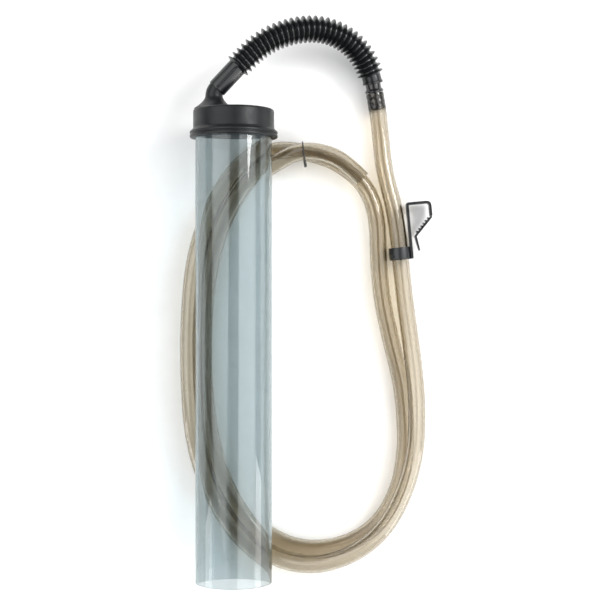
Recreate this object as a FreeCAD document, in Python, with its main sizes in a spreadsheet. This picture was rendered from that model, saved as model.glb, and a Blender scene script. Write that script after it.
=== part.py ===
import FreeCAD, Part
import Sketcher
import math
import os
import re

# Gravel vacuum siphon for an aquarium, lying on its back: a clear intake tube with a
# cap and elbow, a corrugated hose, a barbed adapter and a coiled drain hose with its clip.
# +X is to the hose's side, +Y runs along the tube from its mouth to its cap, +Z is up.
# The origin is the centre of the tube's open mouth.  Lengths are in millimetres.

Vector = FreeCAD.Vector
Rotation = FreeCAD.Rotation
Placement = FreeCAD.Placement

doc = FreeCAD.newDocument("gravel_siphon")
sheet = doc.addObject("Spreadsheet::Sheet", "Sizes")

SIZES = {
    # the surface that the coil lies on, below the tube's axis
    "floor_drop": 44.8,
    # how far a solid runs into the one it is joined to, and a cutter past what it cuts
    "lap": 1.0,
    # intake tube
    "tube_r": 30.5,
    "tube_bore_r": 28.7,
    "tube_length": 369.7,
    "tube_seat_r": 29.0,
    "tube_seat_depth": 19.7,
    # cap
    "cap_top": 375.6,
    "cap_bottom": 353.0,
    "cap_r": 32.2,
    "cap_bore_r": 30.56,
    "cap_bore_top": 369.9,
    "cap_inside_r": 28.6,
    "cap_plate": 2.4,
    "cap_edge_round": 2.0,
    "rim_r": 34.9,
    "rim_height": 5.1,
    "rim_slope": 1.7,
    "rim_groove": 0.5,
    "groove_low": 2.05,
    "groove_high": 3.55,
    # elbow on the cap, off centre
    "elbow_x": -15.6,
    "elbow_r": 6.8,
    "elbow_bore_r": 4.6,
    "elbow_bend_y": 386.6,
    "elbow_bend_r": 8.0,
    "elbow_turn": 42.5,
    "spigot_r": 6.2,
    "spigot_length": 16.0,
    "flare_r": 16.0,
    "flare_mid_r": 10.6,
    "flare_low": 5.4,
    "flare_high": 6.6,
    # priming valve's chamber under the cap's plate
    "chamber_r": 10.0,
    "chamber_wall": 1.5,
    "chamber_bottom": 359.5,
    "seat_height": 3.0,
    "seat_hole_r": 4.4,
    "seat_lip": 1.0,
    "seat_lip_height": 0.6,
    "hinge_offset": 7.6,
    "hinge_height": 1.9,
    "ear_gap": 5.2,
    "ear_thick": 1.2,
    "pin_r": 0.8,
    "pin_length": 8.0,
    "flap_r": 6.0,
    "flap_thick": 1.2,
    "flap_lift": 0.8,
    "barrel_r": 1.5,
    "barrel_bore_r": 0.85,
    "barrel_length": 4.6,
    # gravel guard and the socket that holds its stalk
    "socket_x": 7.0,
    "socket_r": 3.4,
    "socket_bore_r": 2.05,
    "socket_bottom": 361.0,
    "guard_r": 28.2,
    "guard_ring": 2.0,
    "guard_bottom": 352.2,
    "guard_height": 5.0,
    "slat_thick": 1.8,
    "slat_pitch": 4.7,
    "slat_height": 3.6,
    "stalk_r": 2.0,
    "stalk_top": 369.0,
    "stalk_foot_r": 4.2,
    # corrugated hose: its crests' radius, and a smooth cuff at each end
    "bellows_r": 10.9,
    "cuff_r": 7.75,
    "cuff_length": 23.0,
    "end_cuff_length": 6.6,
    # barbed adapter: two full barbs and a tapered tip
    "adapter_spigot_r": 5.6,
    "adapter_spigot": 9.0,
    "adapter_shoulder_r": 6.2,
    "adapter_shoulder": 4.0,
    "adapter_flange_r": 7.6,
    "adapter_flange": 1.2,
    "adapter_gap": 0.3,
    "adapter_neck": 7.3,
    "adapter_barb_r": 5.45,
    "adapter_root_r": 4.7,
    "adapter_bore_r": 3.5,
    "adapter_reach": 20.8,
    "barb_pitch": 5.0,
    "barb_rise": 3.2,
    "barb_crown": 1.2,
    "barb_tip_rise": 1.2,
    # clear drain hose and its coil of two strands
    "hose_r": 7.0,
    "coil_width": 24.0,
    "coil_height": 25.0,
    "coil_round": 6.0,
    "tube_clearance": 0.3,
    "tube_room_below": 80.0,
    # bucket clip
    "clip_tilt": 5.37,
    "clip_x": 134.7,
    "clip_y": 262.2,
    "clip_height": 9.2,
    "clip_width": 9.0,
    "clip_thick": 2.0,
    "clip_ring_bore_r": 7.08,
    "clip_ring_r": 8.9,
    "clip_ring_length": 10.0,
    "leg_x": 9.5,
    "leg_bottom": -5.0,
    "leg_top": 41.0,
    "side_x": 29.1,
    "side_bottom": 28.8,
    "clip_corner_r": 4.4,
    "jaw_thick": 1.6,
    "jaw_pivot_x": 28.0,
    "jaw_pivot_y": 27.5,
    "jaw_bend_x": 13.9,
    "jaw_bend_y": 13.0,
    "jaw_tail_x": 15.9,
    "jaw_tail_y": 1.4,
    "jaw_tail_thin": 0.7,
    "teeth_margin": 1.6,
    "tooth_height": 1.4,
    "tooth_lean": 0.3,
    "tooth_share": 0.55,
    # twist tie
    "tie_x": 52.5,
    "tie_y": 345.0,
    "tie_wire_r": 0.55,
    "tie_bed": 1.2,
    "tie_bed_length": 2.4,
    "tie_corner_r": 4.0,
    "tie_gap": 0.03,
    "tie_tail": 8.0,
    "tie_tail_r": 0.9,
    "tie_tail_height": 3.0,
    "tie_tail_fall": 1.5,
}

for row, (alias, size) in enumerate(SIZES.items(), start=1):
    sheet.set("A%d" % row, alias)
    sheet.set("B%d" % row, str(size))
    sheet.setAlias("B%d" % row, alias)
doc.recompute()


def size(alias):
    """The value of one cell of the sheet."""
    return float(sheet.get(alias))


def bound(text):
    """An expression in which each word that is an alias points at the sheet."""
    return re.sub("[a-z_]+", lambda word: "Sizes." * (word.group() in SIZES) + word.group(), text)


# ---- helpers for sketches, primitives and booleans ---------------------------------

ALONG_Y = Rotation(Vector(1, 0, 0), -90)
ALONG_Z = Rotation()


def primitive(kind, name, sizes, x="0", y="0", z="0", turn=ALONG_Z):
    """A Part primitive with its sizes and place bound to the sheet."""
    item = doc.addObject("Part::" + kind, name)
    item.Placement = Placement(Vector(), turn)
    for prop, text in sizes.items():
        item.setExpression(prop, bound(text))
    for axis, text in (("x", x), ("y", y), ("z", z)):
        item.setExpression("Placement.Base." + axis, bound(text))
    return item


def rod(name, radius, height, x="0", y="0", z="0", turn=ALONG_Y):
    """A cylinder, standing along +Y unless it is turned."""
    return primitive("Cylinder", name, {"Radius": radius, "Height": height}, x, y, z, turn)


def cone(name, low, high, height, x="0", y="0"):
    """A cone along +Y."""
    sizes = {"Radius1": low, "Radius2": high, "Height": height}
    return primitive("Cone", name, sizes, x, y, "0", ALONG_Y)


def block(name, length, width, height, x="0", y="0", z="0"):
    """A box with its lowest corner at x, y, z."""
    sizes = {"Length": length, "Width": width, "Height": height}
    return primitive("Box", name, sizes, x, y, z)


def join(name, items):
    whole = doc.addObject("Part::MultiFuse", name)
    whole.Shapes = items
    return whole


def cut(name, base, tool):
    piece = doc.addObject("Part::Cut", name)
    piece.Base = base
    piece.Tool = tool
    return piece


def origin_plane(body, role):
    return [item for item in body.Origin.OriginFeatures if item.Role == role][0]


def outline(body, name, corners):
    """A closed outline on the body's XY plane, each corner bound to the sheet."""
    sketch = body.newObject("Sketcher::SketchObject", name)
    sketch.AttachmentSupport = [(origin_plane(body, "XY_Plane"), "")]
    sketch.MapMode = "FlatFace"
    spots = []
    for across, along in corners:
        spots.append(Vector(sketch.evalExpression(bound(across)), sketch.evalExpression(bound(along)), 0))
    count = len(spots)
    for index in range(count):
        sketch.addGeometry(Part.LineSegment(spots[index], spots[(index + 1) % count]), False)
    for index in range(count):
        after = (index + 1) % count
        sketch.addConstraint(Sketcher.Constraint("Coincident", index, 2, after, 1))
    for index, (across, along) in enumerate(corners):
        for kind, text, place in (("DistanceX", across, spots[index].x), ("DistanceY", along, spots[index].y)):
            number = sketch.addConstraint(Sketcher.Constraint(kind, -1, 1, index, 1, place))
            sketch.setExpression("Constraints[%d]" % number, bound(text))
    return sketch


def turned(name, corners):
    """A body turned about the Y axis from the outline of one side of its section."""
    body = doc.addObject("PartDesign::Body", name)
    sketch = outline(body, name + "_section", corners)
    revolve = body.newObject("PartDesign::Revolution", name + "_turned")
    revolve.Profile = sketch
    revolve.ReferenceAxis = (sketch, ["V_Axis"])
    revolve.Angle = 360
    body.Tip = revolve
    return body


def round_edges(body, name, test, radius):
    """Rounds the body's edges that pass the test."""
    base = body.Tip
    found = [number for number, edge in enumerate(base.Shape.Edges, start=1) if test(edge)]
    if not found:
        raise RuntimeError("%s found no edge" % name)
    corner = body.newObject("PartDesign::Fillet", name)
    corner.Base = (base, ["Edge%d" % number for number in found])
    corner.setExpression("Radius", bound(radius))
    body.Tip = corner
    doc.recompute()


# ---- intake tube -------------------------------------------------------------------
# A straight clear tube.  Its top end is bored a little wider, where the gravel guard sits.

intake_tube = turned("intake_tube", [
    ("tube_bore_r", "0"),
    ("tube_r", "0"),
    ("tube_r", "tube_length"),
    ("tube_seat_r", "tube_length"),
    ("tube_seat_r", "tube_length - tube_seat_depth"),
    ("tube_bore_r", "tube_length - tube_seat_depth"),
])

# ---- cap with its elbow, one moulding ------------------------------------------------
# The skirt slips over the tube, its rim flares out with a shallow groove round it.

cap_shell = turned("cap_shell", [
    ("cap_bore_r", "cap_bottom"),
    ("rim_r - rim_groove", "cap_bottom"),
    ("rim_r", "cap_bottom + rim_groove"),
    ("rim_r", "cap_bottom + groove_low"),
    ("rim_r - rim_groove", "cap_bottom + groove_low + rim_groove"),
    ("rim_r - rim_groove", "cap_bottom + groove_high - rim_groove"),
    ("rim_r", "cap_bottom + groove_high"),
    ("rim_r", "cap_bottom + rim_height"),
    ("cap_r", "cap_bottom + rim_height + rim_slope"),
    ("cap_r", "cap_top"),
    ("0", "cap_top"),
    ("0", "cap_top - cap_plate"),
    ("cap_inside_r", "cap_top - cap_plate"),
    ("cap_inside_r", "cap_bore_top"),
    ("cap_bore_r", "cap_bore_top"),
])
doc.recompute()


def on_top_edge(edge):
    at_top = abs(edge.BoundBox.YMin - size("cap_top")) < 0.01 and edge.BoundBox.YLength < 0.01
    return at_top and abs(edge.BoundBox.XMax - size("cap_r")) < 0.01


round_edges(cap_shell, "cap_shell_round", on_top_edge, "cap_edge_round")


def elbow_run(name, radius, start, spigot_reach):
    """The elbow's upright, its bend and its slanted end, as one row of solids of one radius."""
    turn_angle = size("elbow_turn")
    slant = Vector(math.sin(math.radians(turn_angle)), math.cos(math.radians(turn_angle)), 0)
    upright = rod(name + "_upright", radius, "elbow_bend_y - (" + start + ")", "elbow_x", start)
    bend_sizes = {"Radius1": "elbow_bend_r", "Radius2": radius, "Angle3": "elbow_turn"}
    bend = primitive("Torus", name + "_bend", bend_sizes, "elbow_x + elbow_bend_r", "elbow_bend_y", "0",
                     Rotation(Vector(0, 0, 1), 180 - turn_angle))
    items = [upright, bend]
    for reach_radius, reach in spigot_reach:
        items.append(rod(name + "_end", reach_radius, reach,
                         "elbow_x + elbow_bend_r * (1 - cos(elbow_turn))",
                         "elbow_bend_y + elbow_bend_r * sin(elbow_turn)", "0",
                         Rotation(Vector(0, 0, 1), slant)))
    return items


elbow_outside = elbow_run("elbow", "elbow_r", "cap_top - lap", [("spigot_r", "spigot_length")])
elbow_inside = elbow_run("outlet", "elbow_bore_r", "cap_top - cap_plate - lap",
                         [("elbow_bore_r", "spigot_length + lap")])
flare_foot = cone("flare_foot", "flare_r", "flare_mid_r", "flare_low", "elbow_x", "cap_top - lap")
flare_neck = cone("flare_neck", "flare_mid_r", "elbow_r", "flare_high", "elbow_x",
                  "cap_top - lap + flare_low")
chamber_wall = rod("chamber_wall", "chamber_r + chamber_wall", "cap_top - lap - chamber_bottom",
                   "elbow_x", "chamber_bottom")
chamber_bore = rod("chamber_bore", "chamber_r", "cap_top - cap_plate - chamber_bottom + lap",
                   "elbow_x", "chamber_bottom - lap")
socket_wall = rod("socket_wall", "socket_r", "cap_top - lap - socket_bottom", "socket_x", "socket_bottom")
socket_bore = rod("socket_bore", "socket_bore_r", "cap_top - cap_plate - socket_bottom + lap",
                  "socket_x", "socket_bottom - lap")
cap_solid = join("cap_solid", [cap_shell, chamber_wall, socket_wall, flare_foot, flare_neck] + elbow_outside)
cap_hollow = join("cap_hollow", [chamber_bore, socket_bore] + elbow_inside)
tube_cap = cut("tube_cap", cap_solid, cap_hollow)

# ---- priming valve in the cap's chamber ----------------------------------------------
# The seat is pressed into the chamber's mouth.  The flap lies on its lip and swings up
# towards the elbow on a pin held by two ears.

HINGE_X = "elbow_x - hinge_offset"
HINGE_Y = "chamber_bottom + seat_height + hinge_height"
seat_disc = rod("seat_disc", "chamber_r", "seat_height", "elbow_x", "chamber_bottom")
seat_lip = rod("seat_lip", "seat_hole_r + seat_lip", "seat_height + seat_lip_height",
               "elbow_x", "chamber_bottom")
seat_hole = rod("seat_hole", "seat_hole_r", "seat_height + lap * 4", "elbow_x", "chamber_bottom - lap * 2")
ears = []
for name, low in (("ear_back", "-1 * (ear_gap / 2 + ear_thick)"), ("ear_front", "ear_gap / 2")):
    ears.append(block(name, "barrel_r * 2", "hinge_height + barrel_r + lap", "ear_thick",
                      HINGE_X + " - barrel_r", "chamber_bottom + seat_height - lap", low))
pin_hole = rod("pin_hole", "pin_r", "pin_length", HINGE_X, HINGE_Y, "-1 * pin_length / 2", ALONG_Z)
seat_solid = join("seat_solid", [seat_disc, seat_lip] + ears)
valve_seat = cut("valve_seat", seat_solid, join("seat_hollow", [seat_hole, pin_hole]))
flap_pin = rod("flap_pin", "pin_r", "pin_length", HINGE_X, HINGE_Y, "-1 * pin_length / 2", ALONG_Z)

FLAP_Y = "chamber_bottom + seat_height + flap_lift"
flap_disc = rod("flap_disc", "flap_r", "flap_thick", "elbow_x", FLAP_Y)
flap_arm = block("flap_arm", "hinge_offset - flap_r + lap * 2", "flap_thick", "barrel_length",
                 HINGE_X, FLAP_Y, "-1 * barrel_length / 2")
flap_barrel = rod("flap_barrel", "barrel_r", "barrel_length", HINGE_X, HINGE_Y,
                  "-1 * barrel_length / 2", ALONG_Z)
barrel_bore = rod("barrel_bore", "barrel_bore_r", "barrel_length + lap * 2", HINGE_X, HINGE_Y,
                  "-1 * (barrel_length / 2 + lap)", ALONG_Z)
valve_flap = cut("valve_flap", join("flap_solid", [flap_disc, flap_arm, flap_barrel]), barrel_bore)

# ---- gravel guard ---------------------------------------------------------------------
# A ring of parallel slats whose stalk pushes into the socket under the cap.

SLATS_EACH_SIDE = 5
slats = []
for number in range(-SLATS_EACH_SIDE, SLATS_EACH_SIDE + 1):
    slats.append(block("slat_%d" % (number + SLATS_EACH_SIDE), "guard_r * 2", "slat_height", "slat_thick",
                       "-1 * guard_r", "guard_bottom", "slat_pitch * %d - slat_thick / 2" % number))
cross_rib = block("cross_rib", "slat_thick", "guard_height", "guard_r * 2",
                  "socket_x - slat_thick / 2", "guard_bottom", "-1 * guard_r")
guard_disc = rod("guard_disc", "guard_r - guard_ring / 2", "guard_height", "0", "guard_bottom")
guard_grid = doc.addObject("Part::MultiCommon", "guard_grid")
guard_grid.Shapes = [join("slat_row", slats + [cross_rib]), guard_disc]
guard_ring = cut("guard_ring",
                 rod("ring_outside", "guard_r", "guard_height", "0", "guard_bottom"),
                 rod("ring_inside", "guard_r - guard_ring", "guard_height + lap * 2", "0",
                     "guard_bottom - lap"))
stalk_foot = rod("stalk_foot", "stalk_foot_r", "guard_height", "socket_x", "guard_bottom")
stalk = rod("stalk", "stalk_r", "stalk_top - guard_bottom", "socket_x", "guard_bottom")
gravel_guard = join("gravel_guard", [guard_ring, guard_grid, stalk_foot, stalk])

# ---- routes of the hoses ----------------------------------------------------------------
# Each point is x, y and its height above the surface that the coil lies on.

BELLOWS_ROUTE = [
    (22.0, 429.0, 43.6),
    (46.0, 440.0, 38.6),
    (70.5, 442.8, 31.6),
    (91.0, 435.5, 24.0),
    (104.3, 422.5, 17.6),
]
LEAD_ROUTE = [
    (113.78, 394.13, 10.64),
    (116.8, 378.7, 8.1),
    (119.2, 356.0, 7.1),
    (122.2, 328.0, 7.6),
    (131.7, 294.1, 9.2),
    (137.7, 230.3, 9.2),
    (143.4, 189.3, 11.6),
    (147.2, 155.0, 16.2),
    (148.1, 128.0, 17.9),
]
COIL_ROUTE = [
    (143.5, 128.0), (143.0, 100.0), (136.0, 68.0), (119.0, 37.5), (92.0, 19.0), (60.0, 12.5),
    (29.0, 20.5), (3.0, 42.0), (-17.0, 74.0), (-28.5, 113.0), (-33.0, 160.0), (-33.0, 208.0),
    (-28.0, 255.0), (-14.5, 297.0), (9.0, 329.0), (38.0, 345.5), (67.0, 344.5), (90.0, 334.0),
    (103.0, 322.0),
]
SECOND_TURN_ROUTE = [
    (103.0, 322.0, 7.1),
    (112.0, 307.0, 7.1),
    (116.6, 287.0, 7.1),
    (117.0, 258.0, 7.1),
    (119.8, 225.0, 7.1),
    (128.0, 188.0, 7.1),
    (136.2, 156.0, 7.1),
    (139.0, 128.0, 7.1),
]


def above_floor(x, y, height):
    return Vector(x, y, height - size("floor_drop"))


# the share of the shorter run that each arc takes
ARC_SHARE = 0.45


def rounded_path(name, points):
    """Straight runs joined by tangent arcs, each as large as its two runs allow."""
    edges = []
    radii = []
    here = points[0]
    for before, corner, after in zip(points, points[1:], points[2:]):
        come = (corner - before).normalize()
        leave = (after - corner).normalize()
        half_turn = come.getAngle(leave) / 2
        reach = ARC_SHARE * min((corner - before).Length, (after - corner).Length)
        radius = reach / math.tan(half_turn)
        start = corner - come * reach
        end = corner + leave * reach
        inward = (leave - come).normalize()
        middle = corner + inward * (radius / math.cos(half_turn) - radius)
        edges.append(Part.LineSegment(here, start).toShape())
        edges.append(Part.Arc(start, middle, end).toShape())
        radii.append(radius)
        here = end
    edges.append(Part.LineSegment(here, points[-1]).toShape())
    path = Part.Wire(edges)
    print("%s: length %.1f, bend radii %s" % (name, path.Length, " ".join("%.0f" % r for r in radii)))
    return path


def swept(name, path, section, area):
    """One section carried along a path, its volume compared with area times length."""
    solid = path.makePipeShell([section], True, False)
    print("%s: volume %.0f, section times length %.0f" % (name, solid.Volume, area * path.Length))
    return solid


def round_tube(name, points, radius):
    path = rounded_path(name, points)
    start = points[0]
    circle = Part.Wire([Part.makeCircle(radius, start, points[1] - start)])
    return swept(name, path, circle, math.pi * radius ** 2)


def finished(name, shape):
    """A node of its own for a shape that Part's functions made."""
    item = doc.addObject("Part::Feature", name)
    item.Shape = shape
    return item


def rod_between(start, end, radius):
    return Part.makeCylinder(radius, (end - start).Length, start, end - start)


# ---- corrugated hose -----------------------------------------------------------------
# Its cuff pushes over the elbow's spigot; the far cuff grips the adapter.

turn_angle = math.radians(size("elbow_turn"))
cuff_way = Vector(math.sin(turn_angle), math.cos(turn_angle), 0)
cuff_start = Vector(size("elbow_x") + size("elbow_bend_r") * (1 - math.cos(turn_angle)),
                    size("elbow_bend_y") + size("elbow_bend_r") * math.sin(turn_angle), 0)
cuff_end = cuff_start + cuff_way * size("cuff_length")
lead_points = [above_floor(*point) for point in LEAD_ROUTE]
adapter_way = (lead_points[1] - lead_points[0]).normalize()
adapter_start = lead_points[0] - adapter_way * size("adapter_neck")
end_cuff_start = adapter_start - adapter_way * size("end_cuff_length")
bellows_points = [cuff_end] + [above_floor(*point) for point in BELLOWS_ROUTE] + [end_cuff_start]
bellows = round_tube("bellows", bellows_points, size("bellows_r"))
cuff = rod_between(cuff_start, cuff_end + cuff_way, size("cuff_r"))
end_cuff = rod_between(end_cuff_start - adapter_way, adapter_start, size("cuff_r"))
corrugated_hose = finished("corrugated_hose", bellows.fuse([cuff, end_cuff]).removeSplitter())

# ---- barbed adapter ------------------------------------------------------------------
# A spigot for the corrugated hose, a shoulder that widens to a flange, and a barbed
# tail for the drain hose.

BARBS = 2
adapter_side = [
    ("adapter_bore_r", "-1 * adapter_spigot"),
    ("adapter_spigot_r", "-1 * adapter_spigot"),
    ("adapter_spigot_r", "0"),
    ("adapter_shoulder_r", "0"),
    ("adapter_shoulder_r", "adapter_shoulder"),
    ("adapter_flange_r", "adapter_neck - adapter_gap - adapter_flange"),
    ("adapter_flange_r", "adapter_neck - adapter_gap"),
    ("adapter_root_r", "adapter_neck - adapter_gap"),
]
for number in range(BARBS):
    foot = "adapter_neck + barb_pitch * %d" % number
    adapter_side += [
        ("adapter_root_r", foot),
        ("adapter_barb_r", foot + " + barb_rise"),
        ("adapter_barb_r", foot + " + barb_rise + barb_crown"),
    ]
tip_foot = "adapter_neck + barb_pitch * %d" % BARBS
adapter_side += [
    ("adapter_root_r", tip_foot),
    ("adapter_barb_r", tip_foot + " + barb_tip_rise"),
    ("adapter_root_r", "adapter_reach"),
    ("adapter_bore_r", "adapter_reach"),
]
hose_adapter = turned("hose_adapter", adapter_side)
hose_adapter.Placement = Placement(adapter_start, Rotation(Vector(0, 1, 0), adapter_way))

# ---- clear drain hose: its lead, its coil of two strands, and the strand that closes it --

hose_lead = finished("hose_lead", round_tube("hose_lead", lead_points, size("hose_r")))
second_points = [above_floor(*point) for point in SECOND_TURN_ROUTE]
hose_second_turn = finished("hose_second_turn",
                            round_tube("hose_second_turn", second_points, size("hose_r")))


def rounded_section(centre, across, up, width, height, corner):
    """A rectangle with rounded corners, as a wire."""
    half_wide = width / 2
    half_high = height / 2
    bulge = corner * (1 - math.sqrt(0.5))
    edges = []

    def spot(a, b):
        return centre + across * a + up * b

    for quarter in range(4):
        side_a = (1, -1, -1, 1)[quarter]
        side_b = (1, 1, -1, -1)[quarter]
        ends = [spot(side_a * half_wide, side_b * (half_high - corner)),
                spot(side_a * (half_wide - corner), side_b * half_high)]
        if quarter % 2 == 1:
            ends.reverse()
        middle = spot(side_a * (half_wide - bulge), side_b * (half_high - bulge))
        edges.append(Part.Arc(ends[0], middle, ends[1]).toShape())
    joined = []
    for quarter in range(4):
        joined.append(edges[quarter])
        start = edges[quarter].Vertexes[-1].Point
        end = edges[(quarter + 1) % 4].Vertexes[0].Point
        joined.append(Part.LineSegment(start, end).toShape())
    return Part.Wire(joined)


coil_middle = size("coil_height") / 2
coil_points = [above_floor(x, y, coil_middle) for x, y in COIL_ROUTE]
coil_path = rounded_path("hose_coil", coil_points)
coil_way = (coil_points[1] - coil_points[0]).normalize()
up = Vector(0, 0, 1)
coil_section = rounded_section(coil_points[0], coil_way.cross(up), up, size("coil_width"),
                               size("coil_height"), size("coil_round"))
coil_area = Part.Face(coil_section).Area
coil = swept("hose_coil", coil_path, coil_section, coil_area)
# The strands lie flat where the intake tube rests on them, and the tie sinks in a little.
room_below = size("tube_room_below")
tube_room = Part.makeCylinder(size("tube_r") + size("tube_clearance"), size("tube_length") + room_below,
                              Vector(0, -room_below, 0), Vector(0, 1, 0))
tie_middle = above_floor(size("tie_x"), size("tie_y"), coil_middle)


def tie_block(length, width, height):
    corner = tie_middle - Vector(length / 2, width / 2, height / 2)
    return Part.makeBox(length, width, height, corner)


bed_width = size("coil_width") - 2 * size("tie_bed")
bed_height = size("coil_height") - 2 * size("tie_bed")
past = 2 * size("lap")
tie_bed = tie_block(size("tie_bed_length"), size("coil_width") + past, size("coil_height") + past)
tie_bed = tie_bed.cut(tie_block(size("tie_bed_length") + past, bed_width, bed_height))
hose_coil = finished("hose_coil", coil.cut(tube_room).cut(tie_bed))

# ---- twist tie -----------------------------------------------------------------------
# One loop of plastic-coated wire round both strands, its two ends twisted together.

wire_r = size("tie_wire_r")
wire_room = 2 * (wire_r + size("tie_gap"))
tie_loop = rounded_section(tie_middle, Vector(0, 1, 0), up, bed_width + wire_room,
                           bed_height + wire_room, size("tie_corner_r"))
loop_start = tie_loop.Edges[1].Vertexes[0].Point
loop_way = tie_loop.Edges[1].tangentAt(tie_loop.Edges[1].FirstParameter)
loop_circle = Part.Wire([Part.makeCircle(wire_r, loop_start, loop_way)])
loop = swept("twist_tie", tie_loop, loop_circle, math.pi * wire_r ** 2)
tail_start = tie_middle + Vector(0, -(bed_width + wire_room) / 2, size("tie_tail_height"))
tail_end = tail_start + Vector(0, -size("tie_tail"), -size("tie_tail_fall"))
twist_tie = finished("twist_tie", loop.fuse(rod_between(tail_start, tail_end, size("tie_tail_r"))))

# ---- bucket clip ---------------------------------------------------------------------
# A moulded strip in its own frame: x is away from the hose, y is up along it, and the
# hose runs through the ring at the origin.  The toothed leg is its sprung part.

clip_strip = doc.addObject("PartDesign::Body", "clip_strip")
strip_outline = outline(clip_strip, "strip_outline", [
    ("leg_x - clip_thick / 2", "leg_bottom"),
    ("leg_x + clip_thick / 2", "leg_bottom"),
    ("leg_x + clip_thick / 2", "leg_top - clip_thick"),
    ("side_x - clip_thick", "leg_top - clip_thick"),
    ("side_x - clip_thick", "side_bottom"),
    ("side_x", "side_bottom"),
    ("side_x", "leg_top"),
    ("leg_x - clip_thick / 2", "leg_top"),
])
strip_pad = clip_strip.newObject("PartDesign::Pad", "strip_pad")
strip_pad.Profile = strip_outline
strip_pad.setExpression("Length", "Sizes.clip_width")
strip_pad.Midplane = True
clip_strip.Tip = strip_pad
doc.recompute()


def upright_at(x, y):
    def test(edge):
        box = edge.BoundBox
        return box.ZLength > 1 and abs(box.XMin - x) < 0.01 and abs(box.YMin - y) < 0.01
    return test


corner_outside = upright_at(size("side_x"), size("leg_top"))
corner_inside = upright_at(size("side_x") - size("clip_thick"), size("leg_top") - size("clip_thick"))
shoulder = upright_at(size("leg_x") - size("clip_thick") / 2, size("leg_top"))
round_edges(clip_strip, "corner_outside", corner_outside, "clip_corner_r")
round_edges(clip_strip, "corner_inside", corner_inside, "clip_corner_r - clip_thick")
round_edges(clip_strip, "shoulder", shoulder, "clip_thick / 2")

clip_ring = rod("clip_ring", "clip_ring_r", "clip_ring_length", "0", "-1 * clip_ring_length / 2")
clip_web = block("clip_web", "leg_x - clip_ring_bore_r", "clip_ring_length", "clip_thick * 2",
                 "clip_ring_bore_r", "-1 * clip_ring_length / 2", "-1 * clip_thick")
clip_bore = rod("clip_bore", "clip_ring_bore_r", "clip_ring_length + lap * 2", "0",
                "-1 * clip_ring_length / 2 - lap")
clip_hook = cut("clip_hook", join("clip_solid", [clip_strip, clip_ring, clip_web]), clip_bore)
clip_place = Placement(above_floor(size("clip_x"), size("clip_y"), size("clip_height")),
                       Rotation(Vector(0, 0, 1), size("clip_tilt")))
clip_hook.Placement = clip_place

TEETH = 6
pivot = Vector(size("jaw_pivot_x"), size("jaw_pivot_y"), 0)
bend = Vector(size("jaw_bend_x"), size("jaw_bend_y"), 0)
tail = Vector(size("jaw_tail_x"), size("jaw_tail_y"), 0)
half_jaw = size("jaw_thick") / 2
run = bend - pivot
way = Vector(run).normalize()
inner_side = Vector(way.y, -way.x, 0)
tail_way = (tail - bend).normalize()
tail_side = Vector(tail_way.y, -tail_way.x, 0)
corner_side = (inner_side + tail_side).normalize()
corner_reach = half_jaw / corner_side.dot(inner_side)
jaw_corners = [pivot - inner_side * half_jaw, pivot + inner_side * half_jaw]
pitch = (run.Length - 2 * size("teeth_margin")) / TEETH
point = way * size("tooth_lean") + inner_side * size("tooth_height")
for number in range(TEETH):
    root = pivot + inner_side * half_jaw + way * (size("teeth_margin") + pitch * number)
    jaw_corners += [root, root + point, root + way * pitch * size("tooth_share")]
half_tail = half_jaw * size("jaw_tail_thin")
jaw_corners += [
    bend + corner_side * corner_reach,
    tail + tail_side * half_tail,
    tail - tail_side * half_tail,
    bend - corner_side * corner_reach,
]
jaw_face = Part.Face(Part.makePolygon(jaw_corners + jaw_corners[:1]))
half_width = Vector(0, 0, size("clip_width") / 2)
jaw_face.translate(-half_width)
jaw_strip = jaw_face.extrude(half_width * 2)
jaw_root = Part.makeCylinder(half_jaw, size("clip_width"), pivot - half_width, up)
clip_jaw = finished("clip_jaw", jaw_strip.fuse(jaw_root))
clip_jaw.Placement = clip_place

# ---- check every object and write one file for each sub-part --------------------------

SUB_PARTS = [
    intake_tube, tube_cap, gravel_guard, valve_seat, valve_flap, flap_pin, corrugated_hose,
    hose_adapter, hose_lead, hose_second_turn, hose_coil, clip_hook, clip_jaw, twist_tie,
]
doc.recompute()
for item in doc.Objects:
    if "Invalid" in item.State or "Error" in item.State:
        raise RuntimeError("%s failed: %s" % (item.Name, item.State))
os.makedirs("parts", exist_ok=True)
for item in SUB_PARTS:
    shape = item.Shape
    if shape.isNull() or not shape.isValid() or len(shape.Solids) != 1:
        raise RuntimeError("%s has no valid single solid" % item.Name)
    item.Label = item.Name
    shape.exportStep(os.path.join("parts", item.Label + ".step"))
    print("%s: volume %.0f" % (item.Label, shape.Volume))
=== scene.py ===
import math

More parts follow.
